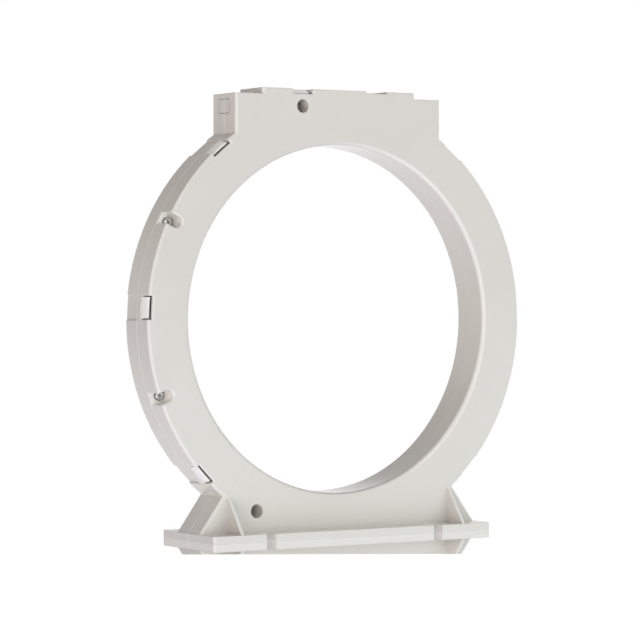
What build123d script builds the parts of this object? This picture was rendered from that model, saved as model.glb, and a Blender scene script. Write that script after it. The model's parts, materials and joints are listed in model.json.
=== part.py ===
from build123d import *
from math import acos, cos, degrees, radians, sin, sqrt
import os

# Ring current transformer for core balance protection: a wound ring core in a casing of two
# equal half mouldings that snap and screw together, standing on a slotted base plate.
# Millimetres. X runs across the front, Y from front to back, Z up. The origin is the bottom
# centre of the base plate, and the two halves meet on the plane Y = 0.

os.makedirs("parts", exist_ok=True)

# Casing ring
bore_diameter = 210.0
ring_width = 27.4
casing_depth = 28.2
bore_sill = 25.6  # height of the bore's lowest point
wall = 2.4
bore_edge_round = 2.3
outer_edge_chamfer = 1.4
top_edge_chamfer = 0.6

# Block on top of the ring, with a raised middle
block_width = 146.0
block_over_ring = 2.2
raised_length = 108.6
raised_height = 3.7

# Flared legs and base plate
waist_half_width = 82.0
foot_half_width = 98.0
plate_end_lip = 0.4
plate_depth = 62.6
plate_thickness = 4.6
plate_corner_round = 2.4
rib_inset = 3.3
rib_thickness = 2.0
rib_toe_inset = 0.5
leg_run_on = 6.0  # height that the legs' sides run on into the ring

# Open mounting slots in the two long edges of the plate
slot_width = 6.5
slot_depth = 13.0
slot_offset = 59.4

# Snap hooks: each half has its hooks on its own right side and its windows on its left
upper_hook_run = 13.26  # along the rim, from the block's corner to the hook's middle
middle_hook_angle = 3.3
lower_hook_run = 18.1  # along the rim, from the waist to the hook's middle
hook_width = 12.8
hook_thickness = 2.0
hook_front_gap = 3.1
hook_catch_gap = 0.2
hook_flush_gap = 0.3
hook_slide_gap = 0.2
hook_ramp_drop = 1.2
hook_nose_length = 1.1
hook_nose_drop = 3.4
hook_side_gap = 0.5
window_spare = 0.6
bridge_length = 5.4
groove_side_gap = 1.1
groove_depth = 1.4
window_edge_break = 0.7

# Screws: two in open pockets on the rim and two in round wells, on each half's left side
rim_screw_angles = [27.0, -20.3]
rim_screw_inset = 5.5
head_pocket_gap = 0.7
head_well_gap = 1.1
well_hook_gap = 0.3
well_chamber_gap = 0.95
lower_well_angle = 62.6
pocket_floor = 1.6
pocket_wall = 1.4
pocket_edge_break = 0.8
well_edge_break = 0.5
screw_head_diameter = 6.0
screw_head_height = 2.2
screw_diameter = 2.9
screw_crown_round = 1.5
screw_length = 9.5
screw_point_break = 0.8
screw_hole_gap = 0.25
screw_thread_gap = 0.05
screw_recess_span = 3.4
screw_recess_width = 0.8
screw_recess_depth = 1.2
screw_boss_wall = 1.9
screw_boss_spare = 1.2

# Break-out outline for the cable on each end of the block
breakout_depth = 12.4
breakout_height = 9.0
breakout_drop = 7.5
breakout_line = 0.5
breakout_line_depth = 0.35

# Inside of the ring: chamber wall round the wound core, stiffening webs
rim_space = 12.4
chamber_wall = 1.6
web_thickness = 1.6
web_angles = [39.0, 15.0, -8.5, -32.0]
pedestal_web_offset = 34.0

# Wound core, from the chamber inwards
foam_thickness = 1.0
foam_margin = 0.8
ring_clearance = 0.4
tape_thickness = 0.4
winding_thickness = 1.0
case_wall = 1.0
core_clearance = 0.2
core_cushion_thickness = 0.6

# Terminals in the block, and the two leads of the winding
terminal_floor = 1.65
terminal_inner_wall = 1.7
terminal_end_wall = 0.85
terminal_clearance = 0.2
terminal_end_gap = 0.1
nest_rib_thickness = 1.2
nest_well_gap = 2.3
clamp_web = 0.6
clamp_size = 8.0
clamp_clearance = 0.15
clamp_wire_hole = 3.6
clamp_wire_depth = 6.4
clamp_screw_diameter = 3.0
clamp_screw_head = 5.2
clamp_screw_head_height = 2.0
clamp_screw_slot = 0.8
lead_diameter = 1.8
lead_core_diameter = 1.2
lead_core_length = 2.3
lead_offset = 2.3
lead_bend = 2.2
lead_clearance = 0.3
lead_seat_gap = 0.05
solder_hole_gap = 0.05
solder_hole_spare = 0.2

# Sizes that follow from those above
bore_radius = bore_diameter / 2
bore_height = bore_radius + bore_sill
ring_radius = bore_radius + ring_width
half_depth = casing_depth / 2
inner_depth = half_depth - wall
block_top = bore_height + ring_radius + block_over_ring
raised_top = block_top + raised_height
ceiling = raised_top - wall
bore_tube_radius = bore_radius + wall
chamber_radius = ring_radius - rim_space
chamber_top = bore_height + chamber_radius + chamber_wall
waist_height = bore_height - sqrt(ring_radius**2 - waist_half_width**2)
flare = (foot_half_width - waist_half_width) / (waist_height - plate_thickness)
plate_length = 2 * (foot_half_width + plate_end_lip)
rib_offset = waist_half_width - rib_inset

block_corner_angle = degrees(acos(block_width / 2 / ring_radius))
waist_angle = degrees(acos(waist_half_width / ring_radius))
upper_hook_angle = block_corner_angle - degrees(upper_hook_run / ring_radius)
lower_hook_angle = degrees(lower_hook_run / ring_radius) - waist_angle
hook_angles = [upper_hook_angle, middle_hook_angle, lower_hook_angle]
hook_reach = half_depth - hook_front_gap
hook_depth = wall + hook_slide_gap + hook_thickness
window_width = hook_width + 2 * hook_side_gap
window_depth = wall + window_spare
groove_width = hook_width + 2 * groove_side_gap

rim_screw_radius = ring_radius - rim_screw_inset
rim_pocket_width = screw_head_diameter + 2 * head_pocket_gap
well_radius = screw_head_diameter / 2 + head_well_gap
well_room = well_radius + pocket_wall
screw_boss_radius = screw_diameter / 2 + screw_thread_gap + screw_boss_wall
upper_well_height = raised_top - hook_depth - well_hook_gap - well_room
lower_well_run = chamber_radius + chamber_wall + well_chamber_gap + well_room
lower_well_offset = lower_well_run * cos(radians(lower_well_angle))
lower_well_height = bore_height - lower_well_run * sin(radians(lower_well_angle))

clamp_inner_face = lead_offset + lead_bend + lead_clearance + terminal_inner_wall
clamp_length = clamp_wire_depth + lead_core_length + solder_hole_spare + clamp_web
terminal_half_width = clamp_inner_face + clamp_length + clamp_clearance + terminal_end_wall
terminal_base = chamber_top + terminal_clearance
wire_height = terminal_base + terminal_floor + clamp_clearance + clamp_size / 2
nest_outside = terminal_half_width + terminal_clearance + nest_rib_thickness
top_hook_offset = nest_outside + nest_well_gap + well_room

past = 1.0  # how far a cutter runs past the face that it opens
skim = 0.1  # the same for a cutter that flares, so that it widens no further


def slab(profile, near, far):
    """Solid of a front-view profile between two distances in front of the parting plane."""
    return extrude(Plane.XZ.offset(near) * profile, far - near)


def disc(radius, x=0.0, z=bore_height):
    return Pos(x, z) * Circle(radius)


def box_profile(half_width, low, high, x=0.0):
    return Pos(x, (low + high) / 2) * Rectangle(2 * half_width, high - low)


def rim(angle):
    """Place on the rim at an angle from the right-hand side: local Z points out of the rim."""
    return Pos(0, 0, bore_height) * Rot(0, 90 - angle, 0) * Pos(0, 0, ring_radius)


def top(x):
    """Place on the raised top, with local Z pointing up."""
    return Pos(x, 0, raised_top)


hook_places = [rim(a) for a in hook_angles] + [top(top_hook_offset)]
window_places = [rim(180 - a) for a in hook_angles] + [top(-top_hook_offset)]


def casing_profile(inset):
    """Front outline of ring, block and legs, moved inwards by the inset."""
    lean = inset * sqrt(1 + flare**2)
    head = waist_height + leg_run_on
    head_x = waist_half_width - flare * leg_run_on - lean
    knee = plate_thickness - (lean - inset) / flare
    foot_x = foot_half_width - inset
    legs = Polygon(
        (-head_x, head), (-foot_x, knee), (-foot_x, inset),
        (foot_x, inset), (foot_x, knee), (head_x, head), align=None,
    )
    block = box_profile(block_width / 2 - inset, bore_height, block_top - inset)
    raised = box_profile(raised_length / 2 - inset, bore_height, raised_top - inset)
    return disc(ring_radius - inset) + block + raised + legs


def below(height):
    """Everything below a height, as a profile to cut with."""
    return box_profile(plate_length, height - ring_radius, height)


def well_places():
    """Centres of the round wells on the left of a half."""
    return [(-top_hook_offset, upper_well_height), (-lower_well_offset, lower_well_height)]


def rim_screw_place(angle):
    """Place of a rim screw's axis at the parting plane, with local Z pointing out of the rim."""
    return Pos(0, 0, bore_height) * Rot(0, 90 - angle, 0) * Pos(0, 0, rim_screw_radius)


def screw_places():
    """Screw axes of the front half, with local Z upright or pointing out of the rim."""
    pockets = [rim_screw_place(180 - a) for a in rim_screw_angles]
    return pockets + [Pos(x, 0, z) for x, z in well_places()]


def outer_body():
    """Solid front half of the ring, block, legs and plate, before it is hollowed."""
    body = slab(casing_profile(0), 0, half_depth)
    rim_edges = body.faces().sort_by(Axis.Y)[0].outer_wire().edges()
    level = rim_edges.filter_by(Axis.X).filter_by_position(Axis.Z, bore_height, raised_top + past)
    body = chamfer(rim_edges - level, outer_edge_chamfer)
    front_edges = body.faces().sort_by(Axis.Y)[0].outer_wire().edges().filter_by(Axis.X)
    level = front_edges.filter_by_position(Axis.Z, bore_height, raised_top + past)
    body = chamfer(level, top_edge_chamfer)
    body -= slab(disc(bore_radius), -past, half_depth + past)
    edge = body.faces().sort_by(Axis.Y)[0].inner_wires()[0].edges()
    body = fillet(edge, bore_edge_round) - slab(below(0), -past, half_depth + past)
    return body + base_plate() + leg_ribs()


def base_plate():
    """Front half of the base plate, with its open slots."""
    reach = plate_depth / 2
    plate = extrude(Pos(0, -reach / 2) * Rectangle(plate_length, reach), plate_thickness)
    corners = plate.edges().filter_by(Axis.Z).group_by(Axis.Y)[0]
    plate = fillet(corners, plate_corner_round)
    for side in (-1, 1):
        end = Pos(side * slot_offset, -reach + slot_depth - slot_width / 2)
        run = Pos(side * slot_offset, -reach) * Rectangle(slot_width, 2 * slot_depth - slot_width)
        slot = end * Circle(slot_width / 2) + run
        plate -= extrude(Pos(0, 0, -past) * slot, plate_thickness + 2 * past)
    return plate


def leg_ribs():
    """Triangular ribs from the waist of each leg to the front edge of the plate."""
    toe = plate_depth / 2 - rib_toe_inset
    side_view = Polygon(
        (-inner_depth, waist_height), (-half_depth, waist_height), (-toe, plate_thickness),
        (-toe, plate_thickness / 2), (-inner_depth, plate_thickness / 2), align=None,
    )
    rib = extrude(Plane.YZ * side_view, rib_thickness / 2, both=True)
    return [Pos(side * rib_offset, 0, 0) * rib for side in (-1, 1)]


def hollow():
    """Inside space of a half: the chamber of the wound core and the space round it."""
    outside = casing_profile(wall) - disc(chamber_radius + chamber_wall) - below(wall)
    chamber = disc(chamber_radius) - disc(bore_tube_radius)
    middle = chamber_radius + chamber_wall / 2
    length = ring_radius - wall / 2 - middle
    for angle in web_angles:
        for turn in (angle, 180 - angle):
            web = Pos(middle + length / 2, 0) * Rectangle(length, web_thickness)
            outside -= Pos(0, bore_height) * Rot(0, 0, turn) * web
    for side in (-1, 1):
        outside -= box_profile(web_thickness / 2, 0, bore_height / 2, side * pedestal_web_offset)
        nest_x = nest_outside - nest_rib_thickness / 2
        outside -= box_profile(nest_rib_thickness / 2, bore_height, raised_top, side * nest_x)
    return slab(outside, 0, inner_depth) + slab(chamber, 0, inner_depth)


def lead_passages():
    """Notches at the parting plane for the winding's leads and for the cable to the clamps."""
    lead_half = lead_offset + lead_diameter / 2 + lead_clearance
    notch = lead_diameter / 2 + lead_clearance
    low = chamber_top - chamber_wall - past
    leads = slab(box_profile(lead_half, low, chamber_top + past), -past, notch)
    cable = clamp_wire_hole / 2 + lead_clearance
    reach = nest_outside + past
    cables = slab(box_profile(reach, wire_height - cable, wire_height + cable), -past, cable)
    return leads + cables


def rim_pocket(grow, floor):
    """Screw pocket that runs out through the rim, widened by grow, from its floor forwards."""
    half = rim_pocket_width / 2 + grow
    length = ring_radius - rim_screw_radius
    profile = Circle(half) + Pos(0, length / 2) * Rectangle(2 * half, length)
    return extrude(Plane.XZ.offset(floor) * profile, half_depth - floor)


def rim_pocket_cut():
    """Pocket space with its broken front edge, open outwards."""
    half = rim_pocket_width / 2
    length = 2 * (ring_radius - rim_screw_radius)
    profile = Circle(half) + Pos(0, length / 2) * Rectangle(2 * half, length)
    space = extrude(Plane.XZ.offset(pocket_floor) * profile, half_depth)
    flare_start = half_depth - pocket_edge_break
    flared = extrude(Plane.XZ.offset(flare_start) * profile, pocket_edge_break, taper=-45)
    return space + flared


def well_cut():
    """Round well for a sunk screw, with a broken front edge."""
    circle = Circle(well_radius)
    space = extrude(Plane.XZ.offset(pocket_floor) * circle, half_depth)
    flare_start = half_depth - well_edge_break
    return space + extrude(Plane.XZ.offset(flare_start) * circle, well_edge_break, taper=-45)


def window_cut():
    """Hook window: local Z = 0 is the outer surface, and the window opens to the front."""
    length = half_depth - bridge_length
    plan = Pos(0, -bridge_length - length / 2) * Rectangle(window_width, length)
    open_plan = Pos(0, -bridge_length - length) * Rectangle(window_width, 2 * length)
    space = extrude(Pos(0, 0, -window_depth) * open_plan, window_depth + 2 * past)
    rim_edge = extrude(Pos(0, 0, -window_edge_break) * plan, window_edge_break + skim, taper=-45)
    front = Rectangle(window_width, 2 * window_depth)
    near = half_depth - window_edge_break
    front_edge = extrude(Plane.XZ.offset(near) * front, window_edge_break, taper=-45)
    return space + rim_edge + front_edge


def groove_cut():
    """Shallow groove over a hook's root, from the parting plane to the front."""
    plan = Pos(0, -half_depth / 2) * Rectangle(groove_width, half_depth + 2 * past)
    return extrude(Pos(0, 0, -groove_depth) * plan, groove_depth + 2 * past)


def snap_hook():
    """Hook with its root inside the wall, reaching behind the other half's bridge."""
    inner = -hook_depth
    arm_top = hook_thickness - hook_depth
    catch = bridge_length + hook_catch_gap
    nose = hook_reach - hook_nose_length
    side_view = Polygon(
        (-inner_depth - wall / 2, inner), (hook_reach, inner),
        (hook_reach, -hook_flush_gap - hook_nose_drop),
        (nose, -hook_flush_gap - hook_ramp_drop), (catch, -hook_flush_gap),
        (catch, arm_top), (0, arm_top), (0, -groove_depth),
        (-inner_depth - wall / 2, -groove_depth), align=None,
    )
    hook = extrude(Plane.YZ * side_view, hook_width / 2, both=True)
    knee = hook.edges().filter_by(Axis.X).group_by(Axis.Y)[-2]
    return fillet(knee, hook_nose_length)


def screw_tip_boss():
    """Round boss that takes the thread of a screw from the other half."""
    return extrude(Plane.XZ * Circle(screw_boss_radius), inner_depth + wall / 2)


def screw_tip_hole():
    depth = screw_length - pocket_floor + screw_boss_spare
    radius = screw_diameter / 2 + screw_thread_gap
    return extrude(Plane.XZ * Circle(radius), depth)


def breakout_outline(side):
    """Fine line round the cable break-out on one end of the block."""
    depth = breakout_depth / 2
    top_z = block_top - breakout_drop + breakout_height / 2
    low_z = top_z - breakout_height
    x = side * block_width / 2
    thick = 2 * breakout_line_depth
    frame = Box(thick, 2 * depth, breakout_height)
    frame -= Box(2 * thick, 2 * (depth - breakout_line), breakout_height - 2 * breakout_line)
    return Pos(x, 0, (top_z + low_z) / 2) * frame


def half_shell():
    """The half moulding, as it lies at the front."""
    shell = outer_body()
    rooms = hollow()
    for place in [rim_screw_place(180 - a) for a in rim_screw_angles]:
        rooms -= place * rim_pocket(pocket_wall, 0)
    for x, z in well_places():
        rooms -= slab(disc(well_room, x, z), 0, half_depth)
        rooms -= Pos(-x, 0, z) * screw_tip_boss()
    for place in [rim_screw_place(a) for a in rim_screw_angles]:
        rooms -= place * screw_tip_boss()
    shell -= rooms
    shell -= lead_passages()
    for place in hook_places:
        shell -= place * groove_cut()
        shell += place * snap_hook()
    for place in window_places:
        shell -= place * window_cut()
    for place in [rim_screw_place(180 - a) for a in rim_screw_angles]:
        shell -= place * rim_pocket_cut()
    for x, z in well_places():
        shell -= Pos(x, 0, z) * well_cut()
        shell -= Pos(-x, 0, z) * screw_tip_hole()
    for place in [rim_screw_place(a) for a in rim_screw_angles]:
        shell -= place * screw_tip_hole()
    through = Plane.XZ.offset(-past) * Circle(screw_diameter / 2 + screw_hole_gap)
    for place in screw_places():
        shell -= place * extrude(through, pocket_floor + 2 * past)
    for side in (-1, 1):
        shell -= breakout_outline(side)
    return shell


def casing_screw():
    """Pan-head self-tapping screw, its head's underside on the pocket floor, tip to the back."""
    head = extrude(Plane.XZ.offset(pocket_floor) * Circle(screw_head_diameter / 2), screw_head_height)
    crown = head.faces().sort_by(Axis.Y)[0].edges()
    head = fillet(crown, screw_crown_round)
    shank = Plane.XZ.offset(pocket_floor - screw_length) * Circle(screw_diameter / 2)
    screw = head + extrude(shank, screw_length)
    point = screw.faces().sort_by(Axis.Y)[-1].edges()
    screw = chamfer(point, screw_point_break)
    face = pocket_floor + screw_head_height - screw_recess_depth
    bar = Rectangle(screw_recess_span, screw_recess_width)
    cross = bar + Rot(0, 0, 90) * bar
    return screw - extrude(Plane.XZ.offset(face) * cross, screw_recess_depth + past)


def ring_body(inner, outer, near, far):
    return slab(disc(outer) - disc(inner), near, far)


def wound_core_set():
    """Core, its case, the winding and its wrap, nested inside the chamber."""
    in0 = bore_tube_radius + ring_clearance
    out0 = chamber_radius - ring_clearance
    depth0 = inner_depth - foam_thickness
    in1, out1, depth1 = in0 + tape_thickness, out0 - tape_thickness, depth0 - tape_thickness
    in2, out2 = in1 + winding_thickness, out1 - winding_thickness
    depth2 = depth1 - winding_thickness
    in3, out3, depth3 = in2 + case_wall, out2 - case_wall, depth2 - case_wall
    tape = ring_body(in0, out0, -depth0, depth0) - ring_body(in1, out1, -depth1, depth1)
    winding = ring_body(in1, out1, -depth1, depth1) - ring_body(in2, out2, -depth2, depth2)
    trough = ring_body(in2, out2, -depth2, depth3) - ring_body(in3, out3, -depth3, depth3)
    lid = ring_body(in2, out2, depth3, depth2)
    core_in, core_out = in3 + core_clearance, out3 - core_clearance
    core_front = depth3 - core_cushion_thickness
    core = ring_body(core_in, core_out, -depth3, core_front)
    cushion = ring_body(core_in, core_out, core_front, depth3)
    foam_in, foam_out = in0 + foam_margin, out0 - foam_margin
    return {
        "wound_core": core,
        "core_cushion": cushion,
        "core_case": trough,
        "core_case_lid": lid,
        "secondary_winding": winding,
        "winding_wrap": tape,
        "front_foam_ring": ring_body(foam_in, foam_out, depth0, inner_depth),
        "rear_foam_ring": ring_body(foam_in, foam_out, -inner_depth, -depth0),
    }


def clamp_block(side):
    """Brass clamp: solder hole inwards, wire hole outwards, screw hole from the front."""
    middle = clamp_inner_face + clamp_length / 2
    block = Box(clamp_length, clamp_size, clamp_size)
    solder = lead_core_diameter / 2 + solder_hole_gap
    outer = clamp_length / 2
    solder_depth = lead_core_length + solder_hole_spare
    inner_hole = Pos(-outer, 0, 0) * Rot(0, 90, 0) * Cylinder(solder, 2 * solder_depth)
    wire_hole = Pos(outer, 0, 0) * Rot(0, 90, 0) * Cylinder(clamp_wire_hole / 2, 2 * clamp_wire_depth)
    screw = clamp_screw_diameter / 2 + screw_thread_gap
    hole = extrude(Plane.XZ * Circle(screw), clamp_size)
    block = block - inner_hole - wire_hole - Pos(outer - clamp_wire_depth / 2, 0, 0) * hole
    placed = Pos(middle, 0, wire_height) * block
    return placed if side > 0 else mirror(placed, Plane.YZ)


def clamp_screw(side):
    """Slotted clamp screw, its tip at the edge of the wire hole."""
    x = side * (clamp_inner_face + clamp_length - clamp_wire_depth / 2)
    tip = clamp_wire_hole / 2
    seat = clamp_size / 2
    shank = extrude(Plane.XZ.offset(tip) * Circle(clamp_screw_diameter / 2), seat - tip)
    head = Plane.XZ.offset(seat) * Circle(clamp_screw_head / 2)
    screw = shank + extrude(head, clamp_screw_head_height)
    slot = Plane.XZ.offset(seat + clamp_screw_head_height / 2)
    screw -= extrude(slot * Rectangle(2 * clamp_screw_head, clamp_screw_slot), clamp_size)
    return Pos(x, 0, wire_height) * screw


def terminal_body():
    """Insulating block between the two halves, with a room for each clamp."""
    height = ceiling - terminal_clearance - terminal_base
    depth = 2 * (inner_depth - terminal_end_gap)
    body = Pos(0, 0, terminal_base + height / 2) * Box(2 * terminal_half_width, depth, height)
    lead = lead_diameter / 2 + lead_clearance
    channel_half = lead_offset + lead_bend + lead_clearance
    low, high = terminal_base - past, wire_height + lead
    channel = Box(2 * channel_half, 2 * lead, high - low)
    body -= Pos(0, 0, (low + high) / 2) * channel
    room = clamp_size + 2 * clamp_clearance
    for side in (-1, 1):
        middle = side * (clamp_inner_face + clamp_length / 2)
        room_box = Box(clamp_length + 2 * clamp_clearance, depth, room)
        body -= Pos(middle, depth / 2 - room / 2, wire_height) * room_box
        lead_way = Rot(0, 90, 0) * Cylinder(lead, 2 * clamp_inner_face)
        body -= Pos(0, 0, wire_height) * lead_way
        cable = Rot(0, 90, 0) * Cylinder(clamp_wire_hole / 2, terminal_half_width)
        body -= Pos(side * terminal_half_width, 0, wire_height) * cable
        x = side * (clamp_inner_face + clamp_length - clamp_wire_depth / 2)
        access = Circle(clamp_screw_head / 2 + lead_clearance)
        body -= Pos(x, 0, wire_height) * extrude(Plane.XZ * access, depth)
    return body


def lead(side):
    """Insulated lead: up out of the wound ring, then sideways into its clamp."""
    start = bore_height + chamber_radius - ring_clearance + lead_seat_gap
    x = side * lead_offset
    strip = side * clamp_inner_face
    path = FilletPolyline((x, 0, start), (x, 0, wire_height), (strip, 0, wire_height), radius=lead_bend)
    jacket = sweep(Plane(origin=(x, 0, start), z_dir=(0, 0, 1)) * Circle(lead_diameter / 2), path=path)
    core = Plane(origin=(strip, 0, wire_height), z_dir=(side, 0, 0)) * Circle(lead_core_diameter / 2)
    return jacket + extrude(core, lead_core_length)


def to_rear(shape):
    """The same piece on the rear half: the front one turned half round the upright axis."""
    return Rot(0, 0, 180) * shape


front_shell = half_shell()
front_screws = [place * casing_screw() for place in screw_places()]

nodes = {
    "front_shell": front_shell,
    "rear_shell": to_rear(front_shell),
    "front_screws": Compound(children=front_screws),
    "rear_screws": Compound(children=[to_rear(screw) for screw in front_screws]),
    "terminal_body": terminal_body(),
    "start_clamp": clamp_block(-1),
    "finish_clamp": clamp_block(1),
    "clamp_screws": Compound(children=[clamp_screw(-1), clamp_screw(1)]),
    "start_lead": lead(-1),
    "finish_lead": lead(1),
}
nodes.update(wound_core_set())

for name, shape in nodes.items():
    export_step(shape, f"parts/{name}.step")
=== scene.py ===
import json
import math
import bpy
import numpy as np
from mathutils import Matrix, Vector


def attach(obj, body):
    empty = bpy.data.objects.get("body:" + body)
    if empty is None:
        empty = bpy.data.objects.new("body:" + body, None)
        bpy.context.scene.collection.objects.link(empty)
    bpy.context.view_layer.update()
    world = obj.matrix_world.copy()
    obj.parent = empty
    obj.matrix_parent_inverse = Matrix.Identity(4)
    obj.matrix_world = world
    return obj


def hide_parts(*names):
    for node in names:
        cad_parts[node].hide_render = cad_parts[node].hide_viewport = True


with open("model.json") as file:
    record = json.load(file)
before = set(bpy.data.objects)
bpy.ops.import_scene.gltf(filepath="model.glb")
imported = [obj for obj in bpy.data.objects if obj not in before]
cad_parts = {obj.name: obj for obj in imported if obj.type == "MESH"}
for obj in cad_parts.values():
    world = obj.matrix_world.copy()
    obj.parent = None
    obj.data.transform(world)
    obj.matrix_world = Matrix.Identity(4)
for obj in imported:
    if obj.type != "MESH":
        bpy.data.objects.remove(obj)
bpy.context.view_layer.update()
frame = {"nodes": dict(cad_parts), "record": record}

# Everything is in metres, in the frame of the part: X across the front, Y to the back, Z up,
# with the origin under the middle of the base plate and the two halves parted at Y = 0.
nodes = frame["nodes"]
scene = bpy.context.scene
windowMount = next(m for m in frame["record"]["mounts"] if m["name"] == "window")
ringCentre = Vector(windowMount["pos_m"])
print("frame loaded:", len(nodes), "nodes")


# Node trees

def newMaterial(name):
    material = bpy.data.materials.new(name)
    material.use_nodes = True
    tree = material.node_tree
    return material, tree, tree.nodes["Principled BSDF"]


def addNode(tree, kind, **settings):
    node = tree.nodes.new(kind)
    for key, value in settings.items():
        setattr(node, key, value)
    return node


def feed(tree, source, target):
    # source is a socket or a plain value
    if isinstance(source, bpy.types.NodeSocket):
        tree.links.new(source, target)
    else:
        target.default_value = source


def feedAll(tree, node, *sources):
    for socket, source in zip(node.inputs, sources):
        feed(tree, source, socket)
    return node


def calc(tree, operation, first, second=0.0):
    node = addNode(tree, "ShaderNodeMath", operation=operation)
    return feedAll(tree, node, first, second).outputs[0]


def times(tree, *factors):
    product = factors[0]
    for factor in factors[1:]:
        product = calc(tree, "MULTIPLY", product, factor)
    return product


def vectorMath(tree, operation, *vectors):
    return feedAll(tree, addNode(tree, "ShaderNodeVectorMath", operation=operation), *vectors)


def remap(tree, value, low, high, newLow=0.0, newHigh=1.0):
    node = addNode(tree, "ShaderNodeMapRange", interpolation_type="SMOOTHSTEP")
    feed(tree, value, node.inputs["Value"])
    for name, number in (("From Min", low), ("From Max", high), ("To Min", newLow), ("To Max", newHigh)):
        feed(tree, number, node.inputs[name])
    return node.outputs["Result"]


def mixColours(tree, factor, first, second):
    node = addNode(tree, "ShaderNodeMix", data_type="RGBA")
    feed(tree, factor, node.inputs["Factor"])
    feed(tree, first, node.inputs["A"])
    feed(tree, second, node.inputs["B"])
    return node.outputs["Result"]


def noise(tree, place, scale, detail=2.0, roughness=0.5):
    # a settings tuple for a noise lists its scale, detail and roughness in this order
    node = addNode(tree, "ShaderNodeTexNoise")
    feed(tree, place, node.inputs["Vector"])
    node.inputs["Scale"].default_value = scale
    node.inputs["Detail"].default_value = detail
    node.inputs["Roughness"].default_value = roughness
    return node.outputs["Fac"]


def bumpFrom(tree, height, distance, strength=1.0, normal=None):
    node = addNode(tree, "ShaderNodeBump")
    node.inputs["Strength"].default_value = strength
    node.inputs["Distance"].default_value = distance
    feed(tree, height, node.inputs["Height"])
    if normal:
        feed(tree, normal, node.inputs["Normal"])
    return node.outputs["Normal"]


def objectPlace(tree):
    return addNode(tree, "ShaderNodeTexCoord").outputs["Object"]


def joinXYZ(tree, x, y, z):
    return feedAll(tree, addNode(tree, "ShaderNodeCombineXYZ"), x, y, z).outputs[0]


def splitXYZ(tree, vector):
    return feedAll(tree, addNode(tree, "ShaderNodeSeparateXYZ"), vector).outputs


def mixShaders(tree, share, first, second):
    return feedAll(tree, addNode(tree, "ShaderNodeMixShader"), share, first, second).outputs[0]


def setSurface(tree, shader, colour, rough, bump, metallic=0.0):
    sources = {"Base Color": colour, "Roughness": rough, "Normal": bump, "Metallic": metallic}
    for name, source in sources.items():
        feed(tree, source, shader.inputs[name])


def newGroup(name, inputs, outputs):
    # inputs: name to default value; outputs: name to socket type
    tree = bpy.data.node_groups.new(name, "ShaderNodeTree")
    for key, value in inputs.items():
        socket = tree.interface.new_socket(key, in_out="INPUT", socket_type="NodeSocketFloat")
        socket.default_value = value
    for key, kind in outputs.items():
        tree.interface.new_socket(key, in_out="OUTPUT", socket_type=kind)
    return tree, addNode(tree, "NodeGroupInput"), addNode(tree, "NodeGroupOutput")


def useGroup(tree, group, **values):
    node = addNode(tree, "ShaderNodeGroup", node_tree=group)
    for key, value in values.items():
        feed(tree, value, node.inputs[key])
    return node


# Shared effects, and the ranges of noise that several materials stretch from 0 to 1

sharedEffects = {
    "detail": 2.0,
    "edgeSamples": 6,
    "edgeLean": (0.75, 0.995),
    "slopeMiddle": 0.62,
    "slopeHalf": 0.34,
    "cloudRange": (0.3, 0.7),
    "grainRange": (0.4, 0.9),
    "toneRange": (0.35, 0.65),
}


def makeGrainGroup():
    # Fine moulded grain: two noises of different size, as a height and as a slow cloud.
    tree, inside, outside = newGroup(
        "mouldGrain",
        {"Grain Scale": 1800.0, "Cloud Scale": 30.0, "Cloud Share": 0.3},
        {"Height": "NodeSocketFloat", "Cloud": "NodeSocketFloat"},
    )
    place = objectPlace(tree)
    fine = addNode(tree, "ShaderNodeTexNoise")
    cloud = addNode(tree, "ShaderNodeTexNoise")
    for node, scale in ((fine, "Grain Scale"), (cloud, "Cloud Scale")):
        feed(tree, place, node.inputs["Vector"])
        feed(tree, inside.outputs[scale], node.inputs["Scale"])
        node.inputs["Detail"].default_value = sharedEffects["detail"]
    share = times(tree, cloud.outputs["Fac"], inside.outputs["Cloud Share"])
    feed(tree, calc(tree, "ADD", fine.outputs["Fac"], share), outside.inputs["Height"])
    feed(tree, cloud.outputs["Fac"], outside.inputs["Cloud"])
    return tree


def makeSoftEdgeGroup():
    # Rounded look of an edge: the bevelled normal, and a mask of how far it leans from the face.
    tree, inside, outside = newGroup(
        "softEdge",
        {"Radius": 0.0004},
        {"Normal": "NodeSocketVector", "Edge": "NodeSocketFloat"},
    )
    bevel = addNode(tree, "ShaderNodeBevel", samples=sharedEffects["edgeSamples"])
    feed(tree, inside.outputs["Radius"], bevel.inputs["Radius"])
    rounded, flat = bevel.outputs["Normal"], addNode(tree, "ShaderNodeNewGeometry").outputs["Normal"]
    lean = vectorMath(tree, "DOT_PRODUCT", rounded, flat)
    feed(tree, rounded, outside.inputs["Normal"])
    mask = remap(tree, lean.outputs["Value"], *sharedEffects["edgeLean"], 1.0, 0.0)
    feed(tree, mask, outside.inputs["Edge"])
    return tree


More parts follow.
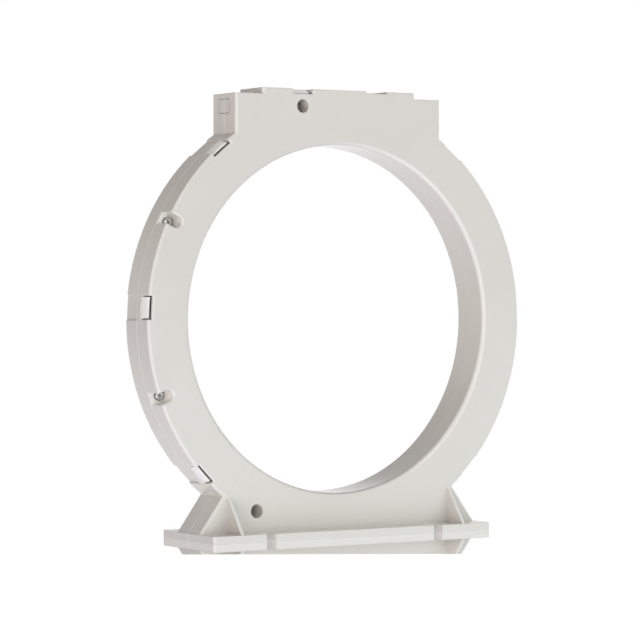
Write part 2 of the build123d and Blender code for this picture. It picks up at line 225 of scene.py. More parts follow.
def makeRingPlaceGroup():
    # Place round the window's axis: radius, angle, angle and X as each half has them, and distance
    # from the parting plane. The rear half is the front one turned half round, so X changes sign.
    tree, inside, outside = newGroup(
        "ringPlace",
        {"Centre Height": ringCentre.z},
        {"Radius": "NodeSocketFloat", "Angle": "NodeSocketFloat", "Half Angle": "NodeSocketFloat",
         "Half X": "NodeSocketFloat", "Depth": "NodeSocketFloat", "Height": "NodeSocketFloat"},
    )
    x, y, z = splitXYZ(tree, objectPlace(tree))
    up = calc(tree, "SUBTRACT", z, inside.outputs["Centre Height"])
    square = calc(tree, "ADD", times(tree, x, x), times(tree, up, up))
    halfX = times(tree, x, calc(tree, "SIGN", y), -1.0)
    feed(tree, calc(tree, "SQRT", square), outside.inputs["Radius"])
    feed(tree, calc(tree, "ARCTAN2", up, x), outside.inputs["Angle"])
    feed(tree, calc(tree, "ARCTAN2", up, halfX), outside.inputs["Half Angle"])
    feed(tree, halfX, outside.inputs["Half X"])
    feed(tree, calc(tree, "ABSOLUTE", y), outside.inputs["Depth"])
    feed(tree, z, outside.inputs["Height"])
    return tree


def makeSlopeGroup():
    # Mask of chamfers and rounds: faces that look neither straight along Y nor square to it.
    tree, inside, outside = newGroup("slopedFaces", {"Softness": 0.12}, {"Mask": "NodeSocketFloat"})
    normal = addNode(tree, "ShaderNodeNewGeometry").outputs["True Normal"]
    facing = calc(tree, "ABSOLUTE", splitXYZ(tree, normal)["Y"])
    off = calc(tree, "ABSOLUTE", calc(tree, "SUBTRACT", facing, sharedEffects["slopeMiddle"]))
    half = sharedEffects["slopeHalf"]
    edge = calc(tree, "SUBTRACT", half, inside.outputs["Softness"])
    feed(tree, remap(tree, off, edge, half, 1.0, 0.0), outside.inputs["Mask"])
    return tree


mouldGrain = makeGrainGroup()
softEdge = makeSoftEdgeGroup()
ringPlace = makeRingPlaceGroup()
slopedFaces = makeSlopeGroup()
print("shared effects ready")


# Casing plastic, with the traces of its mould: chamfers and rounded edges painted pale as a
# highlight, a thin flash line where the halves meet, raised and painted lighter as a highlight,
# faint sink lines over the inner walls, and a few specks in the pale plastic. The face is painted
# darker towards the top as shade, and the open screw pockets paler as painted light. The bore is
# the window's wall with its rounded edges, glossier than the rest, with a painted highlight on
# one side of the round. The outline is the groove round the cable break-out, painted dark as the
# shade in it.

casingPlastic = {
    "colour": (0.71, 0.69, 0.645, 1.0),
    "cloudColour": (0.725, 0.706, 0.662, 1.0),
    "topShadeColour": (0.958, 0.935, 0.922, 1.0),
    "topShadeHeights": (0.02, 0.25),
    "highlightColour": (0.85, 0.84, 0.805, 1.0),
    "sinkColour": (0.66, 0.635, 0.585, 1.0),
    "speckColour": (0.30, 0.26, 0.21, 1.0),
    "roughness": (0.14, 0.24),
    "grainDepth": 0.00001,
    "grainStrength": 0.6,
    "soft": 0.0002,
    "edgeRadius": 0.0006,
    "edgeHighlightShare": 0.85,
    "slopeHighlightShare": 0.75,
    "flashHighlightColour": (0.93, 0.93, 0.92, 1.0),
    "flashSpan": (0.0002, 0.0005),
    "flashDepth": 0.00006,
    "boreFlashShare": 0.35,
    "boreRoundHighlight": (0.1054, 0.1070),
    "boreRoundSoft": 0.0004,
    "boreRoundDepth": (0.0117, 0.0122),
    "boreEnd": 0.1075,
    "boreGloss": 0.35,
    "boreLow": (0.030, 0.048),
    "boreSide": (-0.02, 0.05),
    "boreLowLine": (0.0120, 0.0132),
    "boreLowLineSoft": 0.0003,
    "lowLineColour": (0.47, 0.44, 0.39, 1.0),
    "lowLineShare": 0.6,
    "sinkLines": ((125.5, 0.107, 0.128), (-127.7, 0.107, 0.128), (-145.5, 0.1295, 0.1325)),
    "sinkHalfWidth": 0.0005,
    "sinkEnds": (0.002, 0.001),
    "sinkShare": 0.45,
    "faceDepth": (0.0128, 0.0139),
    "pocketAngles": (153.0, -159.7),
    "pocketHalfWidth": 0.0038,
    "pocketRadii": (0.1229, 0.1332),
    "pocketDepths": (0.0008, 0.0132),
    "pocketDepthSoft": 0.0004,
    "pocketLightColour": (0.90, 0.885, 0.84, 1.0),
    "outlineEnd": 0.0725,
    "outlineHeight": 0.2577,
    "outlineHalf": (0.0062, 0.0045),
    "outlineWidth": 0.0005,
    "outlineSoft": 0.0001,
    "outlineShadeColour": (0.34, 0.32, 0.285, 1.0),
    "outlineShadeShare": 0.6,
    "speckCells": 60.0,
    "speckRadius": 0.00018,
    "speckCore": 0.6,
    "speckShare": 0.8,
}

# Snap hooks in their windows: on the rim at three angles, and on the raised top. The narrow gap
# round a hook is painted dark as shade, since next to no light gets into the casing, and the hook's
# face is painted pale as a highlight.
snapWindows = {
    "rimAngles": (129.2, 176.7, -136.1),
    "rimRadius": 0.1324,
    "topX": -0.0262,
    "topHeight": 0.2689,
    "topStart": 0.2622,
    "halfWidth": 0.0064,
    "sideGap": 0.0005,
    "sideInset": 0.00005,
    "sideStart": 0.0008,
    "catchDepth": 0.0055,
    "noseDepth": 0.0109,
    "wallDepth": 0.0119,
    "gapStart": 0.0027,
    "gapEnd": 0.0050,
    "faceUnder": (0.0001, 0.0022),
    "soft": 0.00015,
    "gapShadeColour": (0.035, 0.03, 0.026, 1.0),
    "hookHighlightColour": (0.92, 0.91, 0.88, 1.0),
}


def upTo(tree, value, high, soft):
    # 1 up to high, falling to 0 within a soft edge
    return remap(tree, value, high, high + soft, 1.0, 0.0)


def between(tree, value, low, high, soft):
    # 1 from low to high, falling to 0 within a soft edge on each side
    rise = remap(tree, value, low - soft, low)
    return times(tree, rise, upTo(tree, value, high, soft))


def alongRim(tree, around, angles):
    # Distance along the rim from the nearest of the angles.
    nearest = math.pi
    for degrees in angles:
        off = calc(tree, "SUBTRACT", around.outputs["Half Angle"], math.radians(degrees))
        nearest = calc(tree, "MINIMUM", nearest, calc(tree, "ABSOLUTE", off))
    return times(tree, nearest, around.outputs["Radius"])


def windowPlace(tree, around):
    # Distance along the rim from the nearest window's middle, and how far under the surface.
    rimAlong = alongRim(tree, around, snapWindows["rimAngles"])
    rimUnder = calc(tree, "SUBTRACT", snapWindows["rimRadius"], around.outputs["Radius"])
    topOff = calc(tree, "SUBTRACT", around.outputs["Half X"], snapWindows["topX"])
    topAlong = calc(tree, "ABSOLUTE", topOff)
    topUnder = calc(tree, "SUBTRACT", snapWindows["topHeight"], around.outputs["Height"])
    isTop = calc(tree, "GREATER_THAN", around.outputs["Height"], snapWindows["topStart"])
    isRim = calc(tree, "SUBTRACT", 1.0, isTop)
    picked = []
    for top, rim in ((topAlong, rimAlong), (topUnder, rimUnder)):
        share = times(tree, top, isTop)
        picked.append(calc(tree, "ADD", share, times(tree, rim, isRim)))
    return picked


def hookMasks(tree, around):
    # Painted shade in the gap before a hook's nose and along its sides, and a painted highlight on the
    # hook's face.
    along, under = windowPlace(tree, around)
    depth, gapEnd = around.outputs["Depth"], snapWindows["gapEnd"]
    half, gap, soft = snapWindows["halfWidth"], snapWindows["sideGap"], snapWindows["soft"]
    wallDepth = between(tree, depth, snapWindows["catchDepth"], snapWindows["wallDepth"], soft)
    hookDepth = between(tree, depth, snapWindows["catchDepth"], snapWindows["noseDepth"], soft)
    noseUnder = between(tree, under, snapWindows["gapStart"], gapEnd, soft)
    noseGap = times(tree, noseUnder, wallDepth, upTo(tree, along, half + gap, soft))
    sides = between(tree, along, half - snapWindows["sideInset"], half + gap / 3, soft / 3)
    sideUnder = between(tree, under, snapWindows["sideStart"], gapEnd, soft)
    sideGap = times(tree, sides, hookDepth, sideUnder)
    faceUnder = between(tree, under, *snapWindows["faceUnder"], soft)
    face = times(tree, faceUnder, hookDepth, upTo(tree, along, half, soft))
    return calc(tree, "MAXIMUM", noseGap, sideGap), face


def sinkMask(tree, around):
    # Largest of the lines' masks: near the line's angle, and between its inner and outer radius.
    radius, angle = around.outputs["Radius"], around.outputs["Half Angle"]
    startIn, endIn = casingPlastic["sinkEnds"]
    mask = 0.0
    for lineAngle, inner, outer in casingPlastic["sinkLines"]:
        off = calc(tree, "ABSOLUTE", calc(tree, "SUBTRACT", angle, math.radians(lineAngle)))
        near = upTo(tree, times(tree, off, radius), 0.0, casingPlastic["sinkHalfWidth"])
        reach = between(tree, radius, inner + startIn, outer - endIn, endIn)
        mask = calc(tree, "MAXIMUM", mask, times(tree, near, reach))
    face = remap(tree, around.outputs["Depth"], *casingPlastic["faceDepth"])
    return times(tree, mask, face)


def pocketPaintedLight(tree, around):
    # Painted light inside the open screw pockets, a paler colour for the light that reaches into
    # them: near a rim screw's axis, between the floor and the face.
    soft = casingPlastic["soft"]
    along = alongRim(tree, around, casingPlastic["pocketAngles"])
    across = upTo(tree, along, casingPlastic["pocketHalfWidth"], soft)
    reach = between(tree, around.outputs["Radius"], *casingPlastic["pocketRadii"], soft)
    deep = between(tree, around.outputs["Depth"], *casingPlastic["pocketDepths"],
                   casingPlastic["pocketDepthSoft"])
    return times(tree, across, reach, deep)


def outlineShadeMask(tree, around):
    # Painted shade in the groove round the cable break-out: a frame on both ends of the block.
    halfDepth, halfHeight = casingPlastic["outlineHalf"]
    up = calc(tree, "SUBTRACT", around.outputs["Height"], casingPlastic["outlineHeight"])
    beyondDepth = calc(tree, "SUBTRACT", around.outputs["Depth"], halfDepth)
    beyondHeight = calc(tree, "SUBTRACT", calc(tree, "ABSOLUTE", up), halfHeight)
    beyond = calc(tree, "MAXIMUM", beyondDepth, beyondHeight)
    groove = between(tree, beyond, -casingPlastic["outlineWidth"], 0.0, casingPlastic["outlineSoft"])
    away = calc(tree, "ABSOLUTE", around.outputs["Half X"])
    atEnd = calc(tree, "GREATER_THAN", away, casingPlastic["outlineEnd"])
    return times(tree, groove, atEnd, casingPlastic["outlineShadeShare"])


def boreZone(tree, around):
    # 1 on the window's wall and its rounded edges, and masks of those edges alone: a painted
    # highlight on each half's own right side, and low down a thin darker line. They come from place,
    # because the facets of a round are too coarse for a mask from their normals.
    radius, depth = around.outputs["Radius"], around.outputs["Depth"]
    zone = upTo(tree, radius, casingPlastic["boreEnd"], casingPlastic["soft"])
    highlightBand = between(tree, radius, *casingPlastic["boreRoundHighlight"], casingPlastic["boreRoundSoft"])
    deep = remap(tree, depth, *casingPlastic["boreRoundDepth"])
    raised = remap(tree, around.outputs["Height"], *casingPlastic["boreLow"])
    side = remap(tree, around.outputs["Half X"], *casingPlastic["boreSide"])
    # a thin darker line low down along the bore's front round
    line = between(tree, depth, *casingPlastic["boreLowLine"], casingPlastic["boreLowLineSoft"])
    dust = times(tree, line, calc(tree, "SUBTRACT", 1.0, raised), zone)
    return zone, times(tree, highlightBand, deep, raised, side), dust


def casingColour(tree, around, grain, masks):
    # The plain colour first, painted darker towards the top as shade, then each trace of the mould,
    # painted highlight and painted shade laid over the ones before it.
    cloud = remap(tree, grain.outputs["Cloud"], *sharedEffects["cloudRange"])
    colour = mixColours(tree, cloud, casingPlastic["colour"], casingPlastic["cloudColour"])
    topShadeShare = remap(tree, around.outputs["Height"], *casingPlastic["topShadeHeights"])
    topShadeFactor = mixColours(tree, topShadeShare, (1.0, 1.0, 1.0, 1.0), casingPlastic["topShadeColour"])
    colour = vectorMath(tree, "MULTIPLY", colour, topShadeFactor).outputs[0]
    for mask, shade in masks:
        colour = mixColours(tree, mask, colour, shade)
    return colour


def speckMask(tree):
    cells = addNode(tree, "ShaderNodeTexVoronoi")
    feed(tree, objectPlace(tree), cells.inputs["Vector"])
    cells.inputs["Scale"].default_value = casingPlastic["speckCells"]
    reach = casingPlastic["speckRadius"] * casingPlastic["speckCells"]
    return remap(tree, cells.outputs["Distance"], casingPlastic["speckCore"] * reach, reach,
                 casingPlastic["speckShare"], 0.0)


def makeCasingMaterial():
    material, tree, shader = newMaterial("casingPlastic")
    grain = useGroup(tree, mouldGrain)
    edge = useGroup(tree, softEdge, Radius=casingPlastic["edgeRadius"])
    around = useGroup(tree, ringPlace)
    slope = useGroup(tree, slopedFaces).outputs["Mask"]
    bore, boreRoundHighlight, boreLowLine = boreZone(tree, around)
    outside = calc(tree, "SUBTRACT", 1.0, bore)
    # the flash line where the halves meet: a small raised ridge, painted lighter as a highlight
    seam = remap(tree, around.outputs["Depth"], *casingPlastic["flashSpan"], 1.0, 0.0)
    flashRidgeAndHighlight = times(tree, seam, calc(tree, "MAXIMUM", outside, casingPlastic["boreFlashShare"]))
    gap, hook = hookMasks(tree, around)
    # painted highlight on rounded edges and chamfers, kept off the bore
    rounded = times(tree, edge.outputs["Edge"], casingPlastic["edgeHighlightShare"])
    slopedHighlight = times(tree, slope, casingPlastic["slopeHighlightShare"])
    paleAndHighlight = times(tree, calc(tree, "MAXIMUM", rounded, slopedHighlight), outside)
    # painted highlight on the bore's rounded edge
    boreHighlight = times(tree, boreRoundHighlight, casingPlastic["slopeHighlightShare"])
    colour = casingColour(tree, around, grain, (
        (calc(tree, "MAXIMUM", paleAndHighlight, boreHighlight), casingPlastic["highlightColour"]),
        (times(tree, boreLowLine, casingPlastic["lowLineShare"]), casingPlastic["lowLineColour"]),
        (pocketPaintedLight(tree, around), casingPlastic["pocketLightColour"]),
        (hook, snapWindows["hookHighlightColour"]),
        (outlineShadeMask(tree, around), casingPlastic["outlineShadeColour"]),
        (flashRidgeAndHighlight, casingPlastic["flashHighlightColour"]),
        (times(tree, sinkMask(tree, around), casingPlastic["sinkShare"]), casingPlastic["sinkColour"]),
        (speckMask(tree), casingPlastic["speckColour"]),
        (gap, snapWindows["gapShadeColour"]),
    ))
    rough = remap(tree, grain.outputs["Height"], *sharedEffects["grainRange"], *casingPlastic["roughness"])
    rough = times(tree, rough, remap(tree, bore, 0.0, 1.0, 1.0, casingPlastic["boreGloss"]))
    rough = calc(tree, "MAXIMUM", rough, gap)
    raised = bumpFrom(tree, flashRidgeAndHighlight, casingPlastic["flashDepth"], 1.0, edge.outputs["Normal"])
    bump = bumpFrom(tree, grain.outputs["Height"], casingPlastic["grainDepth"],
                    casingPlastic["grainStrength"], raised)
    setSurface(tree, shader, colour, rough, bump)
    return material


# Metals, turned or drawn: a mottled tone and a roughness that changes over the surface

metalFinishes = {
    "zincPlate": {"colour": (0.90, 0.91, 0.90, 1.0), "dark": (0.62, 0.63, 0.61, 1.0),
                  "roughness": (0.10, 0.24), "patch": 900.0, "stretch": (1.0, 1.0, 1.0),
                  "paintedShadeColour": (0.09, 0.088, 0.08, 1.0), "paintedShadeShare": 0.92},
    "clampBrass": {"colour": (0.83, 0.60, 0.28, 1.0), "dark": (0.60, 0.40, 0.16, 1.0),
                   "roughness": (0.24, 0.42), "patch": 1400.0, "stretch": (0.06, 1.0, 1.0)},
    "clampScrewZinc": {"colour": (0.70, 0.69, 0.65, 1.0), "dark": (0.48, 0.46, 0.41, 1.0),
                       "roughness": (0.22, 0.40), "patch": 1100.0, "stretch": (1.0, 0.3, 1.0)},
}
metalSurface = {"detail": 3.0, "fineness": 2.5, "paintedShadeRoughness": 0.6, "edgeRadius": 0.00012,
                "depth": 0.000008}


def makeMetal(name):
    finish = metalFinishes[name]
    material, tree, shader = newMaterial(name)
    drawn = addNode(tree, "ShaderNodeMapping")
    feed(tree, objectPlace(tree), drawn.inputs["Vector"])
    drawn.inputs["Scale"].default_value = finish["stretch"]
    place = drawn.outputs[0]
    streaks = noise(tree, place, finish["patch"], metalSurface["detail"])
    tone = remap(tree, streaks, *sharedEffects["toneRange"])
    colour = mixColours(tree, tone, finish["colour"], finish["dark"])
    fine = noise(tree, place, metalSurface["fineness"] * finish["patch"])
    rough = remap(tree, fine, *sharedEffects["cloudRange"], *finish["roughness"])
    # painted shade from the point attribute: darker and duller in the recess, under the head's rim and in
    # the thread's roots
    if "paintedShadeColour" in finish:
        paintedShade = addNode(tree, "ShaderNodeAttribute", attribute_name="paintedShade").outputs["Fac"]
        share = times(tree, paintedShade, finish["paintedShadeShare"])
        colour = mixColours(tree, share, colour, finish["paintedShadeColour"])
        rough = calc(tree, "MAXIMUM", rough, times(tree, paintedShade, metalSurface["paintedShadeRoughness"]))
    edge = useGroup(tree, softEdge, Radius=metalSurface["edgeRadius"])
    bump = bumpFrom(tree, streaks, metalSurface["depth"], 1.0, edge.outputs["Normal"])
    setSurface(tree, shader, colour, rough, bump, 1.0)
    return material


# Inner plastics: the core's case and the terminal block

plasticFinishes = {
    "caseBlack": {"colour": (0.028, 0.028, 0.03, 1.0), "paleAndHighlightColour": (0.06, 0.06, 0.062, 1.0),
                  "roughness": (0.38, 0.55), "grain": 1500.0},
    "terminalBlack": {"colour": (0.045, 0.048, 0.052, 1.0), "paleAndHighlightColour": (0.10, 0.10, 0.105, 1.0),
                      "roughness": (0.32, 0.5), "grain": 2200.0},
}
plasticSurface = {"clouds": 60.0, "cloudShare": 0.5, "edgeRadius": 0.0003, "depth": 0.000015,
                  "strength": 0.7}


def makeInnerPlastic(name):
    finish = plasticFinishes[name]
    material, tree, shader = newMaterial(name)
    scales = {"Grain Scale": finish["grain"], "Cloud Scale": plasticSurface["clouds"]}
    grain = useGroup(tree, mouldGrain, **scales)
    edge = useGroup(tree, softEdge, Radius=plasticSurface["edgeRadius"])
    cloud = remap(tree, grain.outputs["Cloud"], *sharedEffects["cloudRange"], 0.0,
                  plasticSurface["cloudShare"])
    # pale at random in clouds, and painted pale along edges as a highlight
    paleAndHighlight = calc(tree, "MAXIMUM", cloud, edge.outputs["Edge"])
    colour = mixColours(tree, paleAndHighlight, finish["colour"], finish["paleAndHighlightColour"])
    rough = remap(tree, grain.outputs["Height"], *sharedEffects["grainRange"], *finish["roughness"])
    bump = bumpFrom(tree, grain.outputs["Height"], plasticSurface["depth"],
                    plasticSurface["strength"], edge.outputs["Normal"])
    setSurface(tree, shader, colour, rough, bump)
    return material


# Leads: glossy insulation up to the clamp's face, and the bare tinned end beyond it

leadFinishes = {
    "startLead": {"colour": (0.74, 0.73, 0.69, 1.0), "worn": (0.62, 0.60, 0.55, 1.0)},
    "finishLead": {"colour": (0.018, 0.018, 0.02, 1.0), "worn": (0.06, 0.06, 0.06, 1.0)},
}
leadJacket = {"scuffs": 700.0, "detail": 4.0, "scuffRange": (0.5, 0.75), "roughness": (0.22, 0.45)}
bareWire = {"startsAt": 0.00645, "height": 0.2582, "colour": (0.78, 0.74, 0.66, 1.0),
            "roughness": 0.25, "strands": 7.0, "twist": 2600.0, "depth": 0.00005}


def makeLead(name):
    finish = leadFinishes[name]
    material, tree, shader = newMaterial(name)
    x, y, z = splitXYZ(tree, objectPlace(tree))
    bare = calc(tree, "GREATER_THAN", calc(tree, "ABSOLUTE", x), bareWire["startsAt"])
    scuff = noise(tree, objectPlace(tree), leadJacket["scuffs"], leadJacket["detail"])
    scuff = remap(tree, scuff, *leadJacket["scuffRange"])
    jacket = mixColours(tree, scuff, finish["colour"], finish["worn"])
    colour = mixColours(tree, bare, jacket, bareWire["colour"])
    glossy = remap(tree, scuff, 0.0, 1.0, *leadJacket["roughness"])
    even = times(tree, bare, bareWire["roughness"])
    kept = times(tree, glossy, calc(tree, "SUBTRACT", 1.0, bare))
    rough = calc(tree, "ADD", even, kept)
    # strands twist round the wire: a wave of the angle about it plus the way along it
    turn = calc(tree, "ARCTAN2", calc(tree, "SUBTRACT", z, bareWire["height"]), y)
    strands, way = times(tree, turn, bareWire["strands"]), times(tree, x, bareWire["twist"])
    wave = calc(tree, "SINE", calc(tree, "ADD", strands, way))
    bump = bumpFrom(tree, times(tree, wave, bare), bareWire["depth"])
    setSurface(tree, shader, colour, rough, bump, bare)
    return material


# Wound ring: ribbon core, silicone cushion, enamelled wire, tape and foam

coreRibbon = {"bright": (0.56, 0.57, 0.58, 1.0), "dark": (0.24, 0.245, 0.25, 1.0),
              "layers": 9000.0, "round": 1.5, "across": 120.0, "detail": 3.0,
              "roughness": (0.5, 0.28), "depth": 0.00002}


def makeCoreRibbon():
    # Thin layers: a noise that changes fast with the radius and slowly round the ring.
    material, tree, shader = newMaterial("coreRibbon")
    around = useGroup(tree, ringPlace)
    layers = times(tree, around.outputs["Radius"], coreRibbon["layers"])
    slow = times(tree, around.outputs["Angle"], coreRibbon["round"])
    across = times(tree, around.outputs["Depth"], coreRibbon["across"])
    streak = noise(tree, joinXYZ(tree, layers, slow, across), 1.0, coreRibbon["detail"])
    tone = remap(tree, streak, *sharedEffects["toneRange"])
    colour = mixColours(tree, tone, coreRibbon["dark"], coreRibbon["bright"])
    rough = remap(tree, streak, *sharedEffects["cloudRange"], *coreRibbon["roughness"])
    setSurface(tree, shader, colour, rough, bumpFrom(tree, streak, coreRibbon["depth"]), 1.0)
    return material


cushionSilicone = {"colour": (0.56, 0.54, 0.49, 1.0), "dust": (0.66, 0.65, 0.61, 1.0),
                   "specks": (240.0, 5.0, 0.6), "speckRange": (0.42, 0.7), "roughness": (0.55, 0.8),
                   "pores": 1600.0, "depth": 0.00004, "strength": 0.6, "subsurface": 0.05}


def makeCushion():
    material, tree, shader = newMaterial("cushionSilicone")
    specks = noise(tree, objectPlace(tree), *cushionSilicone["specks"])
    dust = remap(tree, specks, *cushionSilicone["speckRange"])
    colour = mixColours(tree, dust, cushionSilicone["colour"], cushionSilicone["dust"])
    rough = remap(tree, dust, 0.0, 1.0, *cushionSilicone["roughness"])
    pores = noise(tree, objectPlace(tree), cushionSilicone["pores"])
    bump = bumpFrom(tree, pores, cushionSilicone["depth"], cushionSilicone["strength"])
    setSurface(tree, shader, colour, rough, bump)
    shader.inputs["Subsurface Weight"].default_value = cushionSilicone["subsurface"]
    return material


enamelWire = {"colour": (0.60, 0.20, 0.055, 1.0), "dark": (0.36, 0.10, 0.03, 1.0),
              "shades": 260.0, "smears": (120.0, 4.0), "roughness": (0.18, 0.34),
              "coat": 0.6, "coatRoughness": 0.12, "depth": 0.00003, "strength": 0.5}


def makeEnamelWire():
    # Each turn has its own shade: a noise of the angle about the window's axis alone.
    material, tree, shader = newMaterial("enamelWire")
    turns = times(tree, useGroup(tree, ringPlace).outputs["Angle"], enamelWire["shades"])
    shade = noise(tree, joinXYZ(tree, turns, 0.0, 0.0), 1.0)
    shade = remap(tree, shade, *sharedEffects["cloudRange"])
    colour = mixColours(tree, shade, enamelWire["dark"], enamelWire["colour"])
    smear = noise(tree, objectPlace(tree), *enamelWire["smears"])
    rough = remap(tree, smear, *sharedEffects["toneRange"], *enamelWire["roughness"])
    shader.inputs["Coat Weight"].default_value = enamelWire["coat"]
    shader.inputs["Coat Roughness"].default_value = enamelWire["coatRoughness"]
    bump = bumpFrom(tree, smear, enamelWire["depth"], enamelWire["strength"])
    setSurface(tree, shader, colour, rough, bump, 1.0)
    return material


wrapTape = {"colour": (0.74, 0.53, 0.09, 1.0), "lapped": (0.58, 0.38, 0.05, 1.0),
            "turns": 76.0, "lean": 35.0, "covered": (0.46, 0.54), "coveredShare": 0.55,
            "freeEdge": (0.0, 0.04), "stepDepth": 0.00008, "wrinkles": (160.0, 4.0, 0.55),
            "roughness": (0.16, 0.32), "wrinkleDepth": 0.00006, "wrinkleStrength": 0.7}


def makeWrapTape():
    # Lapped turns: the angle about the window's axis, leaning with the depth, cut into equal
    # steps. Each step falls from its free edge to where the next turn covers it.
    material, tree, shader = newMaterial("wrapTape")
    around = useGroup(tree, ringPlace)
    share = times(tree, around.outputs["Angle"], wrapTape["turns"] / (2 * math.pi))
    lean = times(tree, around.outputs["Depth"], wrapTape["lean"])
    step = calc(tree, "FRACT", calc(tree, "ADD", share, lean))
    under = times(tree, remap(tree, step, *wrapTape["covered"], 1.0, 0.0), wrapTape["coveredShare"])
    tone = calc(tree, "MAXIMUM", under, remap(tree, step, *wrapTape["freeEdge"], 1.0, 0.0))
    colour = mixColours(tree, tone, wrapTape["colour"], wrapTape["lapped"])
    wrinkle = noise(tree, objectPlace(tree), *wrapTape["wrinkles"])
    rough = remap(tree, wrinkle, *sharedEffects["toneRange"], *wrapTape["roughness"])
    stepped = bumpFrom(tree, calc(tree, "SUBTRACT", 1.0, step), wrapTape["stepDepth"])
    bump = bumpFrom(tree, wrinkle, wrapTape["wrinkleDepth"], wrapTape["wrinkleStrength"], stepped)
    setSurface(tree, shader, colour, rough, bump)
    return material


foamStrip = {"colour": (0.09, 0.09, 0.095, 1.0), "wall": (0.17, 0.17, 0.175, 1.0),
             "cells": 1500.0, "wallRange": (0.25, 0.6), "patches": (90.0, 3.0),
             "patchShare": (0.6, 1.0), "roughness": (0.95, 0.8), "depth": 0.00022, "strength": 0.8}


def makeFoam():
    # Closed cells: a pit at the middle of each cell, and paler walls between them.
    material, tree, shader = newMaterial("foamStrip")
    cells = addNode(tree, "ShaderNodeTexVoronoi", feature="SMOOTH_F1")
    feed(tree, objectPlace(tree), cells.inputs["Vector"])
    cells.inputs["Scale"].default_value = foamStrip["cells"]
    wall = remap(tree, cells.outputs["Distance"], *foamStrip["wallRange"])
    patch = noise(tree, objectPlace(tree), *foamStrip["patches"])
    patch = remap(tree, patch, *sharedEffects["cloudRange"], *foamStrip["patchShare"])
    colour = mixColours(tree, times(tree, wall, patch), foamStrip["colour"], foamStrip["wall"])
    rough = remap(tree, wall, 0.0, 1.0, *foamStrip["roughness"])
    bump = bumpFrom(tree, wall, foamStrip["depth"], foamStrip["strength"])
    setSurface(tree, shader, colour, rough, bump)
    return material


def dress(material, *names):
    for name in names:
        for slot in nodes[name].material_slots:
            slot.material = material


zincPlate = makeMetal("zincPlate")
wireEnamel = makeEnamelWire()
caseBlack = makeInnerPlastic("caseBlack")
dress(makeCasingMaterial(), "front_shell", "rear_shell")
dress(zincPlate, "front_screws", "rear_screws")
dress(makeMetal("clampBrass"), "start_clamp", "finish_clamp")
dress(makeMetal("clampScrewZinc"), "clamp_screws")
dress(makeInnerPlastic("terminalBlack"), "terminal_body")
dress(caseBlack, "core_case", "core_case_lid")
dress(makeLead("startLead"), "start_lead")
dress(makeLead("finishLead"), "finish_lead")
dress(makeCoreRibbon(), "wound_core")
dress(makeCushion(), "core_cushion")
dress(wireEnamel, "secondary_winding")
dress(makeWrapTape(), "winding_wrap")
dress(makeFoam(), "front_foam_ring", "rear_foam_ring")
print("materials assigned")


# Meshes from grids of points

def gridQuads(rows, columns, wrapRows=False):
    # Corner numbers of a grid's quads, closed along the columns, and along the rows if asked.
    i, j = np.meshgrid(np.arange(rows if wrapRows else rows - 1), np.arange(columns), indexing="ij")
    nextI, nextJ = (i + 1) % rows, (j + 1) % columns
    corners = [i * columns + j, i * columns + nextJ, nextI * columns + nextJ, nextI * columns + j]
    return np.stack(corners, axis=-1).reshape(-1, 4)


def poleFan(ringStart, columns, pole):
    j = np.arange(columns)
    return np.stack([np.full(columns, pole), ringStart + (j + 1) % columns, ringStart + j], axis=-1)


def closedTurned(rings, startPole, endPole):
    # A surface whose rows are rings of points, closed with a pole point at each end.
    rows, columns = rings.shape[:2]
    points = np.vstack([rings.reshape(-1, 3), [startPole, endPole]])
    first = poleFan(0, columns, rows * columns)
    last = poleFan((rows - 1) * columns, columns, rows * columns + 1)[:, ::-1]
    return points, [gridQuads(rows, columns), first, last]


def outwards(points, faceSets):
    # Signed volume of the fans of triangles; all faces are turned round where it is negative.
    volume = 0.0
    for faces in faceSets:
        for k in range(1, faces.shape[1] - 1):
            a, b, c = points[faces[:, 0]], points[faces[:, k]], points[faces[:, k + 1]]
            volume += np.einsum("ij,ij->i", a, np.cross(b, c)).sum()
    return faceSets if volume > 0 else [faces[:, ::-1] for faces in faceSets]


def makePiece(name, parts, material, replaced, sharpAngle=35.0, paintedShade=None):
    # parts: pairs of points and face sets, joined in one mesh; paintedShade: a share of painted shade
    # for each point
    points, faces, start = [], [], 0
    for partPoints, faceSets in parts:
        points.append(partPoints)
        for faceSet in faceSets:
            faces += (faceSet + start).tolist()
        start += len(partPoints)
    mesh = bpy.data.meshes.new(name)
    mesh.from_pydata(np.vstack(points).tolist(), [], faces)
    mesh.polygons.foreach_set("use_smooth", np.ones(len(mesh.polygons), dtype=bool))
    mesh.set_sharp_from_angle(angle=math.radians(sharpAngle))
    mesh.materials.append(material)
    if paintedShade is not None:
        mesh.attributes.new("paintedShade", "FLOAT", "POINT").data.foreach_set("value", paintedShade)
    piece = bpy.data.objects.new(name, mesh)
    scene.collection.objects.link(piece)
    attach(piece, "root")
    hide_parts(replaced)
    print(name, len(mesh.polygons), "faces")


# Casing screws: pan head, cross recess, thread and point

